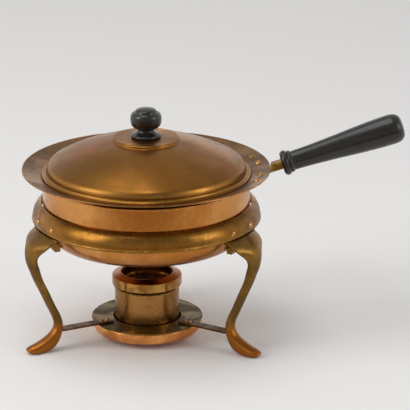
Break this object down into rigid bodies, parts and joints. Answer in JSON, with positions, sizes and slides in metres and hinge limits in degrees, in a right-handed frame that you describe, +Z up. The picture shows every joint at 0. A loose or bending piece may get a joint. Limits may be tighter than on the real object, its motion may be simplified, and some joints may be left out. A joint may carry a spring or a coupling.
{
  "type": "chafing dish",
  "caption": "Round copper chafing dish: domed lid, long-handled food pan in a water pan, on a three-legged brass stand over a lift-out spirit burner.",
  "frame": {"origin": "middle of the whole dish's bounding box, on the surface that it stands on", "axes": "+Z up, +X from the dish towards the end of the pan handle"},
  "size_m": [0.439, 0.296, 0.2732],
  "materials": {
    "water_pan_copper": "polished copper, pinkish, with soft brown stains",
    "food_pan_copper": "dark brown tarnished copper, worn bright at the rim",
    "lid_copper": "tarnished copper with reddish patches and a golden band",
    "bracket_brass": "aged cast brass",
    "rivet_brass": "worn brass rivets",
    "screw_steel": "plain turned steel",
    "black_wood": "black stained turned wood, satin",
    "ring_brass": "golden olive brass with speckled pitting",
    "leg_brass": "cast brass, olive on the shank and coppery at the foot",
    "plate_brass": "dark olive stained brass",
    "tray_copper": "bright orange copper",
    "strut_brass": "dark brown tarnished brass",
    "cup_brass": "golden aged brass",
    "gauze_brass": "dark perforated brass",
    "wadding": "pressed mineral wadding",
    "collar_brass": "polished brass, dark red at the heated top"
  },
  "bodies": {
    "stand": {"stand_ring": "ring_brass", "leg_left": "leg_brass", "leg_right": "leg_brass", "leg_back": "leg_brass", "leg_rivets": "rivet_brass", "burner_plate": "plate_brass", "burner_tray": "tray_copper", "strut_left": "strut_brass", "strut_right": "strut_brass", "strut_back": "strut_brass", "strut_rivets": "rivet_brass", "strut_pins": "rivet_brass"},
    "water_pan": {"water_pan": "water_pan_copper"},
    "food_pan": {"food_pan": "food_pan_copper", "handle_bracket": "bracket_brass", "handle_rivets": "rivet_brass", "handle_stud": "screw_steel", "handle_grip": "black_wood"},
    "lid": {"lid": "lid_copper", "knob": "black_wood", "knob_washer": "screw_steel", "knob_screw": "screw_steel"},
    "burner": {"burner_cup": "cup_brass", "gauze_holder": "cup_brass", "burner_gauze": "gauze_brass", "burner_wadding": "wadding"},
    "burner_collar": {"burner_collar": "collar_brass"}
  },
  "joints": [
    {"name": "water_pan_lift", "type": "slide", "parent": "stand", "child": "water_pan", "axis": [0, 0, 1], "range_m": [0, 0.08]},
    {"name": "food_pan_lift", "type": "slide", "parent": "water_pan", "child": "food_pan", "axis": [0, 0, 1], "range_m": [0, 0.08]},
    {"name": "lid_lift", "type": "slide", "parent": "food_pan", "child": "lid", "axis": [0, 0, 1], "range_m": [0, 0.1]},
    {"name": "burner_lift", "type": "slide", "parent": "stand", "child": "burner", "axis": [0, 0, 1], "range_m": [0, 0.018]},
    {"name": "burner_collar_lift", "type": "slide", "parent": "burner", "child": "burner_collar", "axis": [0, 0, 1], "range_m": [0, 0.011]}
  ]
}
